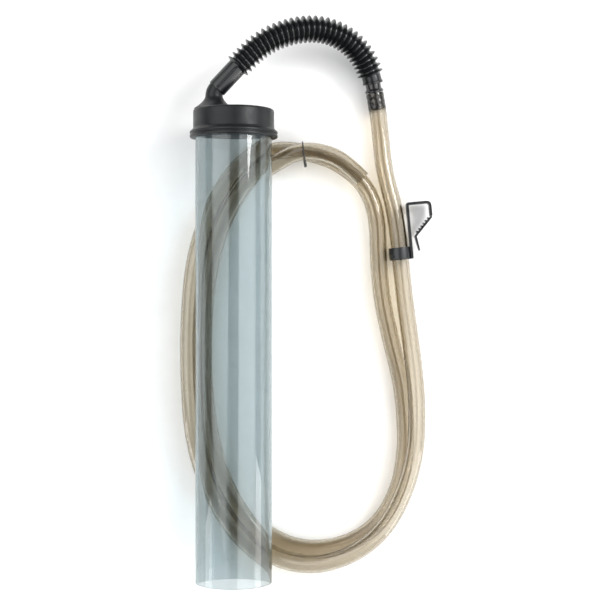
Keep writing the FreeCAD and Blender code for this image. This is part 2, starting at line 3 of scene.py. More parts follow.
import bmesh
import bpy
import numpy as np
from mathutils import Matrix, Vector


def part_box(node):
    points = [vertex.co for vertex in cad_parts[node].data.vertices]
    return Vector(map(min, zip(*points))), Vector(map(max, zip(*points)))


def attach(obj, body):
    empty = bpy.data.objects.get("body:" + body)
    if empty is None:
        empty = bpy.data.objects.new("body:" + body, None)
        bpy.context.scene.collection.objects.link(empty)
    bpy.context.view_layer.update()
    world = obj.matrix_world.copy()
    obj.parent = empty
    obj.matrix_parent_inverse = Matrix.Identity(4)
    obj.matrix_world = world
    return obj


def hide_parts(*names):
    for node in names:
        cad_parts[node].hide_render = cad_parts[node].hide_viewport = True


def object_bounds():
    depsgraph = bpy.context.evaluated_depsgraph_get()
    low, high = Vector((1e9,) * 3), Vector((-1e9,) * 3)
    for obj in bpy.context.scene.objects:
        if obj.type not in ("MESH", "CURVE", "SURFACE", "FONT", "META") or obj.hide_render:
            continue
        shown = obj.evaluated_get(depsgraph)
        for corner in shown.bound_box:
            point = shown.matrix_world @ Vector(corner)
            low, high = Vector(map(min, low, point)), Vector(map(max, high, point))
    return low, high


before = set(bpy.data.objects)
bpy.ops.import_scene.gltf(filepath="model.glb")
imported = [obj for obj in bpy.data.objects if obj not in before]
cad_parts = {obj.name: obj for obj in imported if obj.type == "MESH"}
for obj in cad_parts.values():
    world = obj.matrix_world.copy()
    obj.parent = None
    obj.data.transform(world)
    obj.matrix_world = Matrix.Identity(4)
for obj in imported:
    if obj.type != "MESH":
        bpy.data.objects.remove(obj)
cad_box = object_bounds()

# ---- camera, floor and lights ------------------------------------------------------------
# The siphon lies on its back on a pale table and is seen from straight above, with the
# tube's cap at the top.  Large soft lights stand round it, as round a product on a table.

VIEW_HEIGHT = 1.113
VIEW_HALF_WIDTH = 0.2385
SENSOR = 36.0
floor_z = cad_box[0].z
table_middle = Vector((0.0527, 0.2242, 0.0))

lens = bpy.data.cameras.new("overhead")
lens.sensor_width = SENSOR
lens.lens = SENSOR / 2 * VIEW_HEIGHT / VIEW_HALF_WIDTH
lens.clip_end = 20.0
camera = bpy.data.objects.new("overhead", lens)
camera.location = (table_middle.x, table_middle.y, VIEW_HEIGHT)
bpy.context.scene.collection.objects.link(camera)
bpy.context.scene.camera = camera
bpy.context.scene.view_settings.view_transform = "Standard"


def new_material(name):
    """A material with its nodes on, and its tree, its links and its Principled shader."""
    material = bpy.data.materials.new(name)
    material.use_nodes = True
    tree = material.node_tree
    shader = next(node for node in tree.nodes if node.type == "BSDF_PRINCIPLED")
    return material, tree, shader


# nearly all values of a noise texture lie between these two
NOISE_LOW = 0.3
NOISE_HIGH = 0.7


def noise_between(tree, places, scale, detail, low, high):
    """Soft random values from low to high, with that many waves to a metre."""
    noise = tree.nodes.new("ShaderNodeTexNoise")
    noise.inputs["Scale"].default_value = scale
    noise.inputs["Detail"].default_value = detail
    tree.links.new(places, noise.inputs["Vector"])
    spread = tree.nodes.new("ShaderNodeMapRange")
    spread.inputs["From Min"].default_value = NOISE_LOW
    spread.inputs["From Max"].default_value = NOISE_HIGH
    spread.inputs["To Min"].default_value = low
    spread.inputs["To Max"].default_value = high
    tree.links.new(noise.outputs["Fac"], spread.inputs["Value"])
    return spread.outputs["Result"]


def colour_between(tree, share, first, second):
    """A colour that goes from the first to the second with share."""
    blend = tree.nodes.new("ShaderNodeMix")
    blend.data_type = "RGBA"
    blend.inputs["A"].default_value = (*first, 1.0)
    blend.inputs["B"].default_value = (*second, 1.0)
    tree.links.new(share, blend.inputs["Factor"])
    return blend.outputs["Result"]


def bump_from(tree, height, depth, strength=1.0):
    """The normal of a surface that height raises by up to depth metres."""
    bump = tree.nodes.new("ShaderNodeBump")
    bump.inputs["Distance"].default_value = depth
    bump.inputs["Strength"].default_value = strength
    tree.links.new(height, bump.inputs["Height"])
    return bump.outputs["Normal"]


def object_places(tree):
    return tree.nodes.new("ShaderNodeTexCoord").outputs["Object"]


FLOOR_REACH = 3.0
FLOOR_GAP = 0.0001
floor_mesh = bpy.data.meshes.new("table_top")
corners = [(-1, -1), (1, -1), (1, 1), (-1, 1)]
floor_middle = Vector((table_middle.x, table_middle.y, floor_z - FLOOR_GAP))
floor_corners = [floor_middle + Vector((x, y, 0)) * FLOOR_REACH for x, y in corners]
floor_mesh.from_pydata(floor_corners, [], [(0, 1, 2, 3)])
table_top = bpy.data.objects.new("table_top", floor_mesh)
bpy.context.scene.collection.objects.link(table_top)
paper, tree, shader = new_material("matt_white_paper")
grain = noise_between(tree, object_places(tree), 40.0, 3.0, 0.0, 1.0)
paper_colour = colour_between(tree, grain, (0.90, 0.90, 0.90), (0.93, 0.93, 0.93))
tree.links.new(paper_colour, shader.inputs["Base Color"])
shader.inputs["Roughness"].default_value = 0.9
shader.inputs["Specular IOR Level"].default_value = 0.1
floor_mesh.materials.append(paper)

world = bpy.data.worlds.new("studio")
bpy.context.scene.world = world
world.use_nodes = True
sky = next(node for node in world.node_tree.nodes if node.type == "BACKGROUND")
sky.inputs["Color"].default_value = (0.97, 0.985, 1.0, 1.0)
sky.inputs["Strength"].default_value = 0.30

# each light: where it stands from the middle of the table, its height, its length and its power
LIGHTS = {
    "upper_left": ((-1.00, 0.40, 1.30), 1.6, 2.0, 22.0),
    "upper_right": ((1.10, -0.20, 1.20), 1.7, 2.2, 27.0),
    "beside_the_cap": ((1.00, 0.62, 0.90), 0.42, 0.55, 11.0),
    "right_strip": ((1.15, -0.74, 0.22), 0.50, 0.9, 9.0),
    "left_strip": ((-1.10, -0.80, 0.26), 0.55, 0.9, 6.0),
}
for name, (place, height, length, power) in LIGHTS.items():
    light = bpy.data.lights.new(name, "AREA")
    light.shape = "RECTANGLE"
    light.size = length
    light.size_y = height
    light.energy = power
    lamp = bpy.data.objects.new(name, light)
    lamp.location = table_middle + Vector(place)
    lamp.rotation_mode = "QUATERNION"
    lamp.rotation_quaternion = (-Vector(place)).to_track_quat("-Z", "Y")
    bpy.context.scene.collection.objects.link(lamp)

# ---- clear drain hose --------------------------------------------------------------------
# One 1.74 m length of extruded clear PVC hose with a tan tint, 14 mm outside and 11 mm inside.
# It is pushed over the adapter's barbs, runs down the right side through the clip, and is
# wound in two turns under the intake tube.  Its free end is cut square.

HOSE_R = 0.0070
HOSE_BORE_R = 0.0055
HOSE_SIDES = 72
# the hose hugs the adapter's barbs and swells a little over them
BARBS_END = 0.0137
BARB_PITCH = 0.0050
BARB_SWELL = 0.00030
BARB_STEPS = 24
HUGGING_R = 0.0046
HUGGING_TAPER = 0.0010
# x, y and the height above the table of each point on the hose's way to the coil
LEAD_ROUTE = [
    (0.11378, 0.39413, 0.01064), (0.1168, 0.3787, 0.0081), (0.1192, 0.3560, 0.0071),
    (0.1222, 0.3280, 0.0076), (0.1317, 0.2941, 0.0092), (0.1377, 0.2303, 0.0092),
    (0.1434, 0.1893, 0.0116), (0.1472, 0.1550, 0.0162), (0.1481, 0.1280, 0.0179),
]
SECOND_TURN_ROUTE = [
    (0.1030, 0.3220, 0.0071), (0.1120, 0.3070, 0.0071), (0.1166, 0.2870, 0.0071),
    (0.1170, 0.2580, 0.0071), (0.1198, 0.2250, 0.0071), (0.1280, 0.1880, 0.0071),
    (0.1362, 0.1560, 0.0071), (0.1390, 0.1280, 0.0071),
]
# the coil's middle line, and how far out and how high each of its two strands lies there
COIL = [
    ((0.1435, 0.1280), (0.0046, 0.0179), (-0.0045, 0.0071)),
    ((0.1430, 0.1000), (0.0036, 0.0196), (-0.0033, 0.0071)),
    ((0.1360, 0.0680), (0.0018, 0.0208), (-0.0018, 0.0071)),
    ((0.1190, 0.0375), (0.0022, 0.0206), (-0.0022, 0.0071)),
    ((0.0920, 0.0190), (0.0042, 0.0186), (-0.0042, 0.0071)),
    ((0.0600, 0.0125), (0.0064, 0.0145), (-0.0062, 0.0071)),
    ((0.0290, 0.0205), (0.0072, 0.0086), (-0.0071, 0.0071)),
    ((0.0030, 0.0420), (0.0071, 0.0071), (-0.0071, 0.0071)),
    ((-0.0170, 0.0740), (0.0072, 0.0080), (-0.0070, 0.0071)),
    ((-0.0285, 0.1130), (0.0066, 0.0145), (-0.0066, 0.0071)),
    ((-0.0330, 0.1600), (0.0050, 0.0170), (-0.0050, 0.0071)),
    ((-0.0330, 0.2080), (0.0050, 0.0170), (-0.0050, 0.0071)),
    ((-0.0280, 0.2550), (0.0062, 0.0165), (-0.0062, 0.0071)),
    ((-0.0145, 0.2970), (0.0072, 0.0086), (-0.0071, 0.0071)),
    ((0.0090, 0.3290), (0.0071, 0.0071), (-0.0076, 0.0071)),
    ((0.0300, 0.3425), (0.0055, 0.0071), (-0.0070, 0.0175)),
    ((0.0530, 0.3465), (0.0005, 0.0071), (-0.0005, 0.0213)),
    ((0.0750, 0.3420), (-0.0010, 0.0071), (0.0015, 0.0211)),
    ((0.0900, 0.3340), (-0.0010, 0.0071), (0.0012, 0.0211)),
    ((0.1030, 0.3220), (0.0000, 0.0071), (0.0000, 0.0212)),
]


def above_table(point):
    return Vector((point[0], point[1], point[2] + floor_z))


def coil_turn(strand):
    """The points of one turn of the coil, for its first or its second strand."""
    turn = []
    for index, row in enumerate(COIL):
        before = Vector(COIL[max(index - 1, 0)][0])
        after = Vector(COIL[min(index + 1, len(COIL) - 1)][0])
        way = (after - before).normalized()
        out, height = row[strand]
        middle = Vector(row[0]) + Vector((-way.y, way.x)) * out
        turn.append(above_table((middle.x, middle.y, height)))
    return turn


def smooth_line(name, points):
    """The line of a hose: one open NURBS spline, read back as the points along it."""
    curve = bpy.data.curves.new(name, "CURVE")
    curve.dimensions = "3D"
    curve.resolution_u = 12
    spline = curve.splines.new("NURBS")
    spline.points.add(len(points) - 1)
    for knot, place in zip(spline.points, points):
        knot.co = (*place, 1.0)
    spline.order_u = 3
    spline.use_endpoint_u = True
    holder = bpy.data.objects.new(name, curve)
    mesh = bpy.data.meshes.new_from_object(holder)
    line = [vertex.co.copy() for vertex in mesh.vertices]
    bpy.data.objects.remove(holder)
    bpy.data.curves.remove(curve)
    bpy.data.meshes.remove(mesh)
    return line


def distances(line):
    """How far along the line each of its points is."""
    steps = [0.0] + [(b - a).length for a, b in zip(line, line[1:])]
    return list(np.cumsum(steps))


SHARP_ANGLE = math.radians(38)


def new_piece(name, mesh, material):
    """A mesh as a smooth-shaded piece of one material."""
    mesh.polygons.foreach_set("use_smooth", [True] * len(mesh.polygons))
    mesh.set_sharp_from_angle(angle=SHARP_ANGLE)
    mesh.materials.clear()
    mesh.materials.append(material)
    piece = bpy.data.objects.new(name, mesh)
    bpy.context.scene.collection.objects.link(piece)
    return piece


SAME_PLACE = 1e-7
NO_LENGTH = 1e-8


def turned_mesh(name, line, profile, sides, closed=True, ripple=None):
    """A mesh turned about a line.  Each profile point is (distance along the line, radius);
    ripple(distance, angle) adds to the radius.  The attribute lay holds each point's
    place round the wall and along it, for the materials."""
    points = np.array([tuple(p) for p in line])
    along = np.array(distances(line))
    ways = np.gradient(points, along, axis=0)
    ways /= np.linalg.norm(ways, axis=1, keepdims=True)
    side = np.cross(ways[0], (0.0, 0.0, 1.0) if abs(ways[0][2]) < 0.9 else (1.0, 0.0, 0.0))
    sides_at = []
    for way in ways:
        side = side - way * np.dot(side, way)
        side = side / np.linalg.norm(side)
        sides_at.append(side)
    sides_at = np.array(sides_at)
    angles = np.arange(sides) * 2 * math.pi / sides

    def at(distance, rows):
        return np.array([np.interp(distance, along, rows[:, k]) for k in range(3)])

    vertices = []
    lay = []
    for distance, radius in profile:
        centre = at(distance, points)
        way = at(distance, ways)
        way /= np.linalg.norm(way)
        centre = centre + way * (min(distance, 0.0) + max(distance - along[-1], 0.0))
        across = at(distance, sides_at)
        across -= way * np.dot(across, way)
        across /= np.linalg.norm(across)
        up = np.cross(way, across)
        for angle in angles:
            reach = radius + (ripple(distance, angle) if ripple and radius > 0 else 0.0)
            vertices.append(tuple(centre + (across * math.cos(angle) + up * math.sin(angle)) * reach))
            lay.append((math.cos(angle), math.sin(angle), distance))
    rings = len(profile)
    faces = []
    for ring in range(rings if closed else rings - 1):
        here = ring * sides
        there = (ring + 1) % rings * sides
        for k in range(sides):
            after = (k + 1) % sides
            faces.append((here + k, here + after, there + after, there + k))
    mesh = bpy.data.meshes.new(name)
    mesh.from_pydata(vertices, [], faces)
    mesh.attributes.new("lay", "FLOAT_VECTOR", "POINT").data.foreach_set("vector", np.array(lay).ravel())
    shape = bmesh.new()
    shape.from_mesh(mesh)
    bmesh.ops.remove_doubles(shape, verts=shape.verts, dist=SAME_PLACE)
    bmesh.ops.dissolve_degenerate(shape, edges=shape.edges, dist=NO_LENGTH)
    bmesh.ops.recalc_face_normals(shape, faces=shape.faces)
    shape.to_mesh(mesh)
    shape.free()
    return mesh


def wall_places(tree, along_scale):
    """Places round a turned wall, with the direction along it drawn out or pressed together."""
    lay = tree.nodes.new("ShaderNodeAttribute")
    lay.attribute_name = "lay"
    stretch = tree.nodes.new("ShaderNodeMapping")
    stretch.inputs["Scale"].default_value = (1.0, 1.0, along_scale)
    tree.links.new(lay.outputs["Vector"], stretch.inputs["Vector"])
    return stretch.outputs["Vector"]


def clear_plastic(name, tint, roughness, refraction, depth_colour, depth_density, shadow_tint, line_depth):
    """Clear extruded plastic.  The tint is in its skin and in its depth; shallow lines from
    the die run along it, and its shadow is as pale as that of a thin wall."""
    material, tree, shader = new_material(name)
    shader.inputs["Base Color"].default_value = (*tint, 1.0)
    shader.inputs["Transmission Weight"].default_value = 1.0
    shader.inputs["IOR"].default_value = refraction
    lines = noise_between(tree, wall_places(tree, 0.6), 5.0, 3.0, 0.0, 1.0)
    tree.links.new(bump_from(tree, lines, line_depth), shader.inputs["Normal"])
    haze = noise_between(tree, wall_places(tree, 30.0), 1.6, 2.0, roughness * 0.6, roughness * 1.4)
    tree.links.new(haze, shader.inputs["Roughness"])
    output = next(node for node in tree.nodes if node.type == "OUTPUT_MATERIAL")
    path = tree.nodes.new("ShaderNodeLightPath")
    through = tree.nodes.new("ShaderNodeBsdfTransparent")
    through.inputs["Color"].default_value = (*shadow_tint, 1.0)
    either = tree.nodes.new("ShaderNodeMixShader")
    tree.links.new(path.outputs["Is Shadow Ray"], either.inputs[0])
    tree.links.new(shader.outputs["BSDF"], either.inputs[1])
    tree.links.new(through.outputs["BSDF"], either.inputs[2])
    tree.links.new(either.outputs["Shader"], output.inputs["Surface"])
    if depth_density:
        depth = tree.nodes.new("ShaderNodeVolumeAbsorption")
        depth.inputs["Color"].default_value = (*depth_colour, 1.0)
        depth.inputs["Density"].default_value = depth_density
        tree.links.new(depth.outputs["Volume"], output.inputs["Volume"])
    return material


tan_pvc = clear_plastic("clear_tan_pvc", (0.975, 0.97, 0.955), 0.045, 1.50,
                        (0.56, 0.49, 0.35), 400.0, (0.90, 0.87, 0.80), 0.000006)
hose_route = [above_table(point) for point in LEAD_ROUTE] + coil_turn(1)[1:]
hose_route += [above_table(point) for point in SECOND_TURN_ROUTE[1:]] + coil_turn(2)[1:]
hose_line = smooth_line("drain_hose_line", hose_route)
hose_stations = distances(hose_line)
hose_profile = []
for step in range(BARB_STEPS + 1):
    station = BARBS_END * step / BARB_STEPS
    swell = 0.5 - 0.5 * math.cos(2 * math.pi * station / BARB_PITCH)
    hose_profile.append((station, HOSE_R + BARB_SWELL * swell))
hose_profile += [(station, HOSE_R) for station in hose_stations if station > BARBS_END]
open_stations = [station for station in reversed(hose_stations) if station > BARBS_END + HUGGING_TAPER]
hose_profile += [(station, HOSE_BORE_R) for station in open_stations]
hose_profile += [(BARBS_END, HUGGING_R), (0.0, HUGGING_R)]
drain_hose = new_piece("drain_hose", turned_mesh("drain_hose", hose_line, hose_profile, HOSE_SIDES), tan_pvc)
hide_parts("hose_lead", "hose_second_turn", "hose_coil")
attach(drain_hose, "cap")

# ---- corrugated hose ---------------------------------------------------------------------
# Blow-moulded black polyethylene with thin round ribs, so that it bends without kinking.
# Its long smooth cuff is pushed over the elbow, its short one over the adapter's spigot.

RIB_R = 0.0109
GROOVE_R = 0.0077
RIBS = 31
RIB_STEPS = 10
RIB_SHARPNESS = 2.2
CUFF_R = 0.00775
CUFF_LENGTH = 0.0230
END_CUFF_LENGTH = 0.0066
CUFF_LINES = 40
CUFF_LINE_DEPTH = 0.00010
CUFF_LINES_START = 0.0015
CUFF_LINES_STOP = 0.0010
CUFF_STEPS = 12
CUFF_EDGE = 0.0003
WALL = 0.0011
# the bead at the end of the short cuff
BEAD_LENGTH = 0.0022
BEAD_EDGE = 0.0004
BEAD_HEIGHT = 0.0005
BELLOWS_SIDES = 160
BELLOWS_ROUTE = [
    (-0.01350, 0.39200, 0.0448), (0.00204, 0.40896, 0.0448), (0.0220, 0.4290, 0.0436),
    (0.0460, 0.4400, 0.0386), (0.0705, 0.4428, 0.0316), (0.0910, 0.4355, 0.0240),
    (0.1043, 0.4225, 0.0176), (0.11114, 0.40759, 0.01287), (0.11239, 0.40120, 0.01181),
]


def eased(corners, steps=5):
    """An outline whose corners (along, radius, round) are rounded by arcs."""
    out = []
    count = len(corners)
    for index, (along, radius, rounding) in enumerate(corners):
        here = Vector((along, radius))
        before = Vector(corners[index - 1][:2])
        after = Vector(corners[(index + 1) % count][:2])
        come = before - here
        leave = after - here
        if rounding <= 0 or min(come.length, leave.length) < NO_LENGTH:
            out.append((along, radius))
            continue
        half = come.angle(leave) / 2
        reach = min(rounding / math.tan(half), come.length * 0.49, leave.length * 0.49)
        first = here + come.normalized() * reach
        last = here + leave.normalized() * reach
        for step in range(steps + 1):
            share = step / steps
            place = first * (1 - share) ** 2 + here * 2 * share * (1 - share) + last * share ** 2
            out.append((place.x, place.y))
    return out


bellows_line = smooth_line("corrugated_hose_line", [above_table(point) for point in BELLOWS_ROUTE])
bellows_length = distances(bellows_line)[-1]
ribbed_to = bellows_length - END_CUFF_LENGTH
bellows_profile = [(0.0, CUFF_R - WALL), (0.0, CUFF_R - CUFF_EDGE), (CUFF_EDGE, CUFF_R)]
bellows_profile += [(CUFF_LENGTH * step / CUFF_STEPS, CUFF_R) for step in range(1, CUFF_STEPS)]
for step in range(RIBS * RIB_STEPS + 1):
    lift = (0.5 - 0.5 * math.cos(2 * math.pi * step / RIB_STEPS)) ** RIB_SHARPNESS
    along = CUFF_LENGTH + (ribbed_to - CUFF_LENGTH) * step / (RIBS * RIB_STEPS)
    bellows_profile.append((along, GROOVE_R + (RIB_R - GROOVE_R) * lift))
bellows_profile += [
    (ribbed_to + BEAD_EDGE, CUFF_R), (bellows_length - BEAD_LENGTH, CUFF_R),
    (bellows_length - BEAD_LENGTH + BEAD_EDGE, CUFF_R + BEAD_HEIGHT),
    (bellows_length - BEAD_EDGE, CUFF_R + BEAD_HEIGHT),
    (bellows_length, CUFF_R + BEAD_HEIGHT - BEAD_EDGE), (bellows_length, CUFF_R - WALL),
]
bellows_profile += [(station, CUFF_R - WALL) for station in distances(bellows_line)[-2:0:-1]]


def cuff_lines(distance, angle):
    """The fine lines along the long cuff."""
    if not CUFF_LINES_START < distance < CUFF_LENGTH - CUFF_LINES_STOP:
        return 0.0
    return -CUFF_LINE_DEPTH * (0.5 + 0.5 * math.cos(CUFF_LINES * angle))


def moulded_plastic(name, colour, lighter, roughness, grain_depth, grain_scale=1500.0, coat=0.0, shine=0.5):
    """Opaque moulded plastic: a fine even grain, a little cloudiness in its colour and
    smears of handling in its gloss."""
    material, tree, shader = new_material(name)
    places = object_places(tree)
    clouds = noise_between(tree, places, 60.0, 4.0, 0.0, 1.0)
    tree.links.new(colour_between(tree, clouds, colour, lighter), shader.inputs["Base Color"])
    smears = noise_between(tree, places, 110.0, 5.0, roughness * 0.82, roughness * 1.22)
    tree.links.new(smears, shader.inputs["Roughness"])
    grain = noise_between(tree, places, grain_scale, 2.0, 0.0, 1.0)
    tree.links.new(bump_from(tree, grain, grain_depth), shader.inputs["Normal"])
    shader.inputs["IOR"].default_value = 1.5
    shader.inputs["Specular IOR Level"].default_value = shine
    shader.inputs["Coat Weight"].default_value = coat
    shader.inputs["Coat Roughness"].default_value = 0.12
    return material


black_ribbed = moulded_plastic("black_ribbed_plastic", (0.004, 0.005, 0.006), (0.008, 0.009, 0.010),
                               0.22, 0.00001)
corrugated_hose = new_piece(
    "corrugated_hose_moulding",
    turned_mesh("corrugated_hose", bellows_line, bellows_profile, BELLOWS_SIDES, ripple=cuff_lines),
    black_ribbed)
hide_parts("corrugated_hose")
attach(corrugated_hose, "cap")

# ---- barbed adapter ----------------------------------------------------------------------
# Glossy black acetal, turned by its mould.  Its spigot is inside the corrugated hose's short
# cuff, its flange shows between the two hoses, and its barbs show through the clear hose.

SPIGOT = 0.0090
SPIGOT_R = 0.0056
ADAPTER_REACH = 0.0208
BORE = 0.0035
SHOULDER_GAP = 0.0002
SHOULDER_R = 0.0062
SHOULDER_LENGTH = 0.0040
FLANGE_FOOT = 0.0058
FLANGE_R = 0.0076
FLANGE_THICK = 0.0012
STEM_R = 0.0049
FIRST_BARB = 0.0163
BARB_R = 0.00585
BARB_RISE = 0.0032
BARB_CROWN = 0.0012
BARB_FALL = 0.0004
NOSE_START = 0.0264
NOSE_RISE = 0.0012
NOSE_R = 0.0058
NOSE_END_R = 0.0053
adapter_start = above_table(BELLOWS_ROUTE[-1])
adapter_way = (above_table(LEAD_ROUTE[1]) - above_table(LEAD_ROUTE[0])).normalized()
adapter_line = [adapter_start - adapter_way * SPIGOT, adapter_start + adapter_way * ADAPTER_REACH]
flange_end = SPIGOT + FLANGE_FOOT + FLANGE_THICK
adapter_outline = [
    (0.0, BORE, 0.0002), (0.0, SPIGOT_R, 0.0004), (SPIGOT - SHOULDER_GAP, SPIGOT_R, 0.0),
    (SPIGOT - SHOULDER_GAP, SHOULDER_R, 0.0003), (SPIGOT + SHOULDER_LENGTH, SHOULDER_R, 0.0006),
    (SPIGOT + FLANGE_FOOT, FLANGE_R, 0.0006), (flange_end, FLANGE_R, 0.0004), (flange_end, STEM_R, 0.0002),
]
for foot in (FIRST_BARB, FIRST_BARB + BARB_PITCH):
    crown_end = foot + BARB_RISE + BARB_CROWN
    adapter_outline += [(foot, STEM_R, 0.0002), (foot + BARB_RISE, BARB_R, 0.0006),
                        (crown_end, BARB_R, 0.0003), (crown_end + BARB_FALL, STEM_R, 0.0002)]
adapter_outline += [(NOSE_START, STEM_R, 0.0002), (NOSE_START + NOSE_RISE, NOSE_R, 0.0005),
                    (SPIGOT + ADAPTER_REACH, NOSE_END_R, 0.0005), (SPIGOT + ADAPTER_REACH, BORE, 0.0002)]
gloss_black = moulded_plastic("gloss_black_acetal", (0.004, 0.004, 0.005), (0.008, 0.008, 0.009),
                              0.16, 0.000004, 900.0, 0.3)
adapter_mesh = turned_mesh("barbed_adapter", adapter_line, eased(adapter_outline), 96)
adapter = new_piece("barbed_adapter", adapter_mesh, gloss_black)
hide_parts("hose_adapter")
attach(adapter, "cap")

# ---- twist tie ---------------------------------------------------------------------------
# A thin wire coated in black plastic, bent once round both strands of the hose, with its
# two ends twisted together and turned down.

WIRE_R = 0.00060
TIE_X = 0.0556
TIE_GAP = 0.0001
TIE_LEAN = 0.0009
KNOT_RISE = 0.0010
TAIL_TURNS = 3
TAIL_STEPS = 24
TAIL_LENGTH = 0.0044
TAIL_DRIFT = 0.0008
TAIL_DROP = 0.0040
TAIL_SWING = WIRE_R * 1.02
# the tie is at the coil's far end, where this height parts its two strands
COIL_END_Y = 0.3
NEAR_TIE = 0.006
parting_z = floor_z + 0.014
crossing = [place for place in hose_line if place.y > COIL_END_Y and abs(place.x - TIE_X) < NEAR_TIE]
strand_low = min((place for place in crossing if place.z < parting_z), key=lambda p: abs(p.x - TIE_X))
strand_high = min((place for place in crossing if place.z > parting_z), key=lambda p: abs(p.x - TIE_X))
tie_reach = HOSE_R + WIRE_R + TIE_GAP


def tie_loop_points():
    """One round of the wire: up over the upper strand, down and under the lower one."""
    loop = []
    for strand, start in ((strand_high, 0), (strand_low, 180)):
        for angle in range(start, start + 181, 20):
            turn = math.radians(angle)
            height = strand.z + tie_reach * math.sin(turn)
            place = Vector((TIE_X, strand.y + tie_reach * math.cos(turn), max(height, floor_z + WIRE_R)))
            loop.append(place - Vector((TIE_LEAN * math.cos(turn), 0.0, 0.0)))
    return loop


tie_points = tie_loop_points()
knot = Vector((TIE_X + TIE_LEAN, strand_high.y - tie_reach, strand_high.z + KNOT_RISE))


def tail_points(phase):
    """One of the wire's two ends, wound about the other."""
    tail = []
    for step in range(TAIL_STEPS + 1):
        share = step / TAIL_STEPS
        turn = phase + share * TAIL_TURNS * 2 * math.pi
        swing = Vector((math.cos(turn), 0.0, math.sin(turn))) * TAIL_SWING
        fall = Vector((TAIL_DRIFT * share, -TAIL_LENGTH * share, -TAIL_DROP * share ** 2))
        tail.append(knot + fall + swing)
    return tail


half = len(tie_points) // 2
tie_path = tail_points(0.0)[::-1] + tie_points[half - 1::-1]
tie_path += tie_points[:half - 1:-1] + tail_points(math.pi)
tie_stations = distances(tie_path)
tie_profile = [(0.0, 0.0)] + [(station, WIRE_R) for station in tie_stations] + [(tie_stations[-1], 0.0)]
coated_wire = moulded_plastic("black_coated_wire", (0.012, 0.012, 0.012), (0.025, 0.025, 0.025),
                              0.35, 0.00001)
twist_tie = new_piece("twist_tie_wire", turned_mesh("twist_tie", tie_path, tie_profile, 12, closed=False),
                      coated_wire)
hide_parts("twist_tie")
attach(twist_tie, "cap")

# ---- intake tube -------------------------------------------------------------------------
# Extruded clear styrene with a smoky blue-grey tint, 61 mm across with a 1.8 mm wall.  Both
# ends are sawn and polished; the top end is pushed into the cap.

tube_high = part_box("intake_tube")[1]
TUBE_BORE_R = 0.0287
TUBE_SEAT_R = 0.0290
TUBE_SEAT_DEPTH = 0.0197
LIP_ROUND = 0.0005
tube_r = tube_high.x
tube_length = tube_high.y
tube_outline = [
    (0.0, TUBE_BORE_R, LIP_ROUND), (0.0, tube_r, LIP_ROUND),
    (tube_length, tube_r, LIP_ROUND), (tube_length, TUBE_SEAT_R, LIP_ROUND),
    (tube_length - TUBE_SEAT_DEPTH, TUBE_SEAT_R, 0.0001),
    (tube_length - TUBE_SEAT_DEPTH, TUBE_BORE_R, 0.0001),
]
smoky_clear = clear_plastic("smoky_clear_styrene", (0.86, 0.885, 0.90), 0.01, 1.49,
                            (0.48, 0.56, 0.565), 350.0, (0.82, 0.87, 0.88), 0.000004)
tube_line = [Vector((0, 0, 0)), Vector((0, tube_length, 0))]
intake_tube = new_piece("clear_intake_tube", turned_mesh("intake_tube", tube_line, eased(tube_outline), 256),
                        smoky_clear)
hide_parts("intake_tube")
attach(intake_tube, "tube")

# ---- cap and elbow -----------------------------------------------------------------------
# One satin black moulding: a skirt with a rolled rim over the tube's end, a flat top with a
# rounded edge, and an off-centre elbow that rises from a flared foot.  Inside are the valve's
# chamber and the socket of the guard's stalk.

cap_low, cap_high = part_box("tube_cap")
CAP_BOTTOM = cap_low.y
CAP_TOP = 0.3756
CAP_R = 0.0322
ROOF = 0.0024
TUBE_STOP_Y = 0.3699
UPPER_BORE_R = 0.0286
CAP_BORE_R = 0.03056
RIM_R = cap_high.x
# along the rim from its lower edge: a fine groove, then the shoulder down to the skirt
RIM_EDGE = 0.0005
RIM_GROOVE_START = 0.00205
RIM_GROOVE_END = 0.00355
RIM_GROOVE_DEPTH = 0.0006
RIM_TOP = 0.0049
SKIRT_START = 0.0070
ELBOW_X = -0.0156
ELBOW_R = 0.0069
ELBOW_BORE_R = 0.0046
ELBOW_BEND_Y = 0.3866
ELBOW_BEND_R = 0.0080
ELBOW_TURN = math.radians(42.5)
ELBOW_STEPS = 12
ELBOW_REACH = 0.0160
OUTLET_REACH = 0.0180
NOZZLE_STEP = 0.0002
NOZZLE_R = 0.0062
NOZZLE_EDGE = 0.0004
FLARE_SPREAD = 0.0120
FLARE_FOOT_R = 0.0159
FLARE_POWER = 1.8
FLARE_STEPS = 20
# the valve's chamber under the elbow, and the socket that holds the guard's stalk
CHAMBER_BOTTOM = 0.3595
CHAMBER_R = 0.0115
CHAMBER_BORE_R = 0.0100
SOCKET_X = 0.0070
SOCKET_BOTTOM = 0.3610
SOCKET_R = 0.0034
SOCKET_BORE_R = 0.00205
